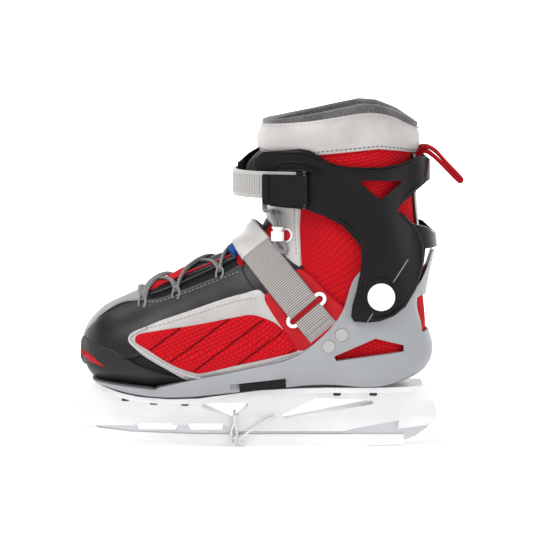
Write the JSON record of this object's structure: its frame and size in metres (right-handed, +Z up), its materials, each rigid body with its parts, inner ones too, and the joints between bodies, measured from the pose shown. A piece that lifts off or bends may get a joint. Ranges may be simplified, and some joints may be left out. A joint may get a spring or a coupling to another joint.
{
  "type": "ice skate",
  "caption": "Soft-boot ice skate with hard base shell, pivoting cuff, strap and ladder buckle, sliding toe box and a guarded steel runner.",
  "frame": {"origin": "middle of the flat stretch of the blade guard's underside, in the plane of the blade", "axes": "+Z up, toe towards -X, outer side of the foot towards -Y"},
  "size_m": [0.3114, 0.1045, 0.271],
  "materials": {
    "black_leather": "grained synthetic leather",
    "bolt_black": "black coated steel",
    "cap_white": "satin",
    "cuff_black": "satin black, injection moulded",
    "guard_white": "satin, extruded",
    "holder_white": "semi-gloss, injection moulded",
    "insole_grey": "fleece over foam",
    "lace_grey": "braided lace",
    "liner_grey": "short plush",
    "lock_white": "satin",
    "red_mesh": "ribbed mesh with quilting",
    "ring_white": "satin",
    "rivet_steel": "brushed",
    "runner_steel": "ground and hardened",
    "shell_grey": "fine satin, injection moulded",
    "silver_leather": "pearl synthetic leather",
    "silver_plastic": "silver coloured, satin",
    "tab_red": "red tape",
    "tie_white": "twisted white string",
    "webbing_grey": "ribbed webbing"
  },
  "bodies": {
    "chassis": {"base_shell": "shell_grey", "blade_holder": "holder_white", "blade_runner": "runner_steel", "edge_guard": "guard_white", "holder_bolts": "bolt_black", "guard_tie": "tie_white", "pivot_pins": "rivet_steel", "pivot_caps": "cap_white", "boot_upper": "liner_grey", "tongue": "red_mesh", "quarters": "black_leather", "side_mesh": "red_mesh", "insole_rear": "insole_grey", "lace_rear": "lace_grey", "instep_strap": "webbing_grey", "strap_anchor": "webbing_grey", "instep_ring": "ring_white", "strap_end_patch": "silver_leather", "strap_rivets": "silver_plastic", "cord_lock_body": "lock_white"},
    "toe_box": {"toe_upper": "liner_grey", "toe_cap": "black_leather", "vamp": "black_leather", "toe_mesh": "red_mesh", "insole_front": "insole_grey", "lace_front": "lace_grey"},
    "cuff": {"cuff_shell": "cuff_black", "buckle_base": "cuff_black", "buckle_rivets": "rivet_steel", "lever_pin": "rivet_steel", "ladder_strap": "silver_plastic", "liner_shaft": "liner_grey", "collar_pad": "silver_leather", "pull_tab": "tab_red"},
    "buckle_lever": {"buckle_lever": "cuff_black"},
    "size_lock": {"size_slider": "cuff_black"},
    "cord_lock_button": {"cord_lock_button": "lock_white"}
  },
  "joints": [
    {"name": "toe_extend", "type": "slide", "parent": "chassis", "child": "toe_box", "axis": [-0.9949, 0, 0.1011], "range_m": [0, 0.02]},
    {"name": "cuff_flex", "type": "hinge", "parent": "chassis", "child": "cuff", "pos_m": [0.085, 0, 0.123], "axis": [0, -1, 0], "range_deg": [-2, 6], "stiffness_Nm_per_rad": 12},
    {"name": "lever_open", "type": "hinge", "parent": "cuff", "child": "buckle_lever", "pos_m": [0.02579, -0.05287, 0.2055], "axis": [0, 0, 1], "range_deg": [0, 85]},
    {"name": "size_lock_slide", "type": "slide", "parent": "chassis", "child": "size_lock", "axis": [-0.9956, 0, -0.0941], "range_m": [0, 0.0065]},
    {"name": "cord_lock_press", "type": "slide", "parent": "chassis", "child": "cord_lock_button", "axis": [0, 0, -1], "range_m": [0, 0.0021], "stiffness_N_per_m": 500, "springref_m": -0.003}
  ]
}
